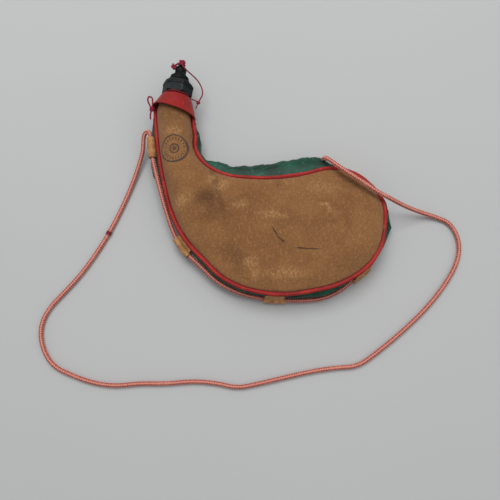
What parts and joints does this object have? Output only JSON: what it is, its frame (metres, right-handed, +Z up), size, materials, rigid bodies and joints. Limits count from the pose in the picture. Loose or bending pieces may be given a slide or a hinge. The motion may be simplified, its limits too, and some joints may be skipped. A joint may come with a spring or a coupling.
{
  "type": "bota bag",
  "caption": "Curved leather drinking bag with a suede front, piped seam, screw-on nozzle with a tied stopper, and a cord strap through leather loops.",
  "frame": {"origin": "on the floor under the middle of the belly, the bag lying on its back", "axes": "+Z up out of the suede front, +Y along the neck towards the nozzle, +X towards the belly's far end"},
  "size_m": [0.5062, 0.4135, 0.0568],
  "materials": {
    "suede": "brushed suede",
    "vinyl": "wrinkled coated cloth",
    "liner": "matt",
    "red_piping": "satin",
    "red_collar": "satin",
    "black_plastic": "satin",
    "gasket": "matt",
    "tan_leather": "smooth",
    "rope": "braided",
    "string": "twisted"
  },
  "bodies": {
    "bag": {"front_panel": "suede", "back_shell": "vinyl", "liner": "liner", "front_piping": "red_piping", "neck_collar": "red_collar", "neck_socket": "black_plastic", "cord_loop_1": "tan_leather", "cord_loop_2": "tan_leather", "cord_loop_3": "tan_leather", "cord_loop_4": "tan_leather", "cord_loop_5": "tan_leather", "rim_cord": "rope", "shoulder_cord": "rope", "cord_splice": "string", "neck_tie": "string", "tether_anchor": "string", "tether_string": "string"},
    "nozzle_lift": {"nozzle_gasket": "gasket"},
    "nozzle": {"nozzle": "black_plastic"},
    "stopper": {"tip_stopper": "black_plastic", "stopper_knot": "string"}
  },
  "joints": [
    {"name": "nozzle_rise", "type": "slide", "parent": "bag", "child": "nozzle_lift", "axis": [0, 1, 0], "range_m": [0, 0.00625], "deforming": ["tether_string"]},
    {"name": "nozzle_turn", "type": "hinge", "parent": "nozzle_lift", "child": "nozzle", "pos_m": [-0.1571, 0.172, 0.029], "axis": [0, 1, 0], "range_deg": [0, 900]},
    {"name": "stopper_pull", "type": "slide", "parent": "nozzle_lift", "child": "stopper", "axis": [0, 1, 0], "range_m": [0, 0.01], "deforming": ["tether_string"]}
  ],
  "couplings": [
    {"joint": "nozzle_rise", "follows": "nozzle_turn", "m_per_rad": 0.00039789}
  ]
}
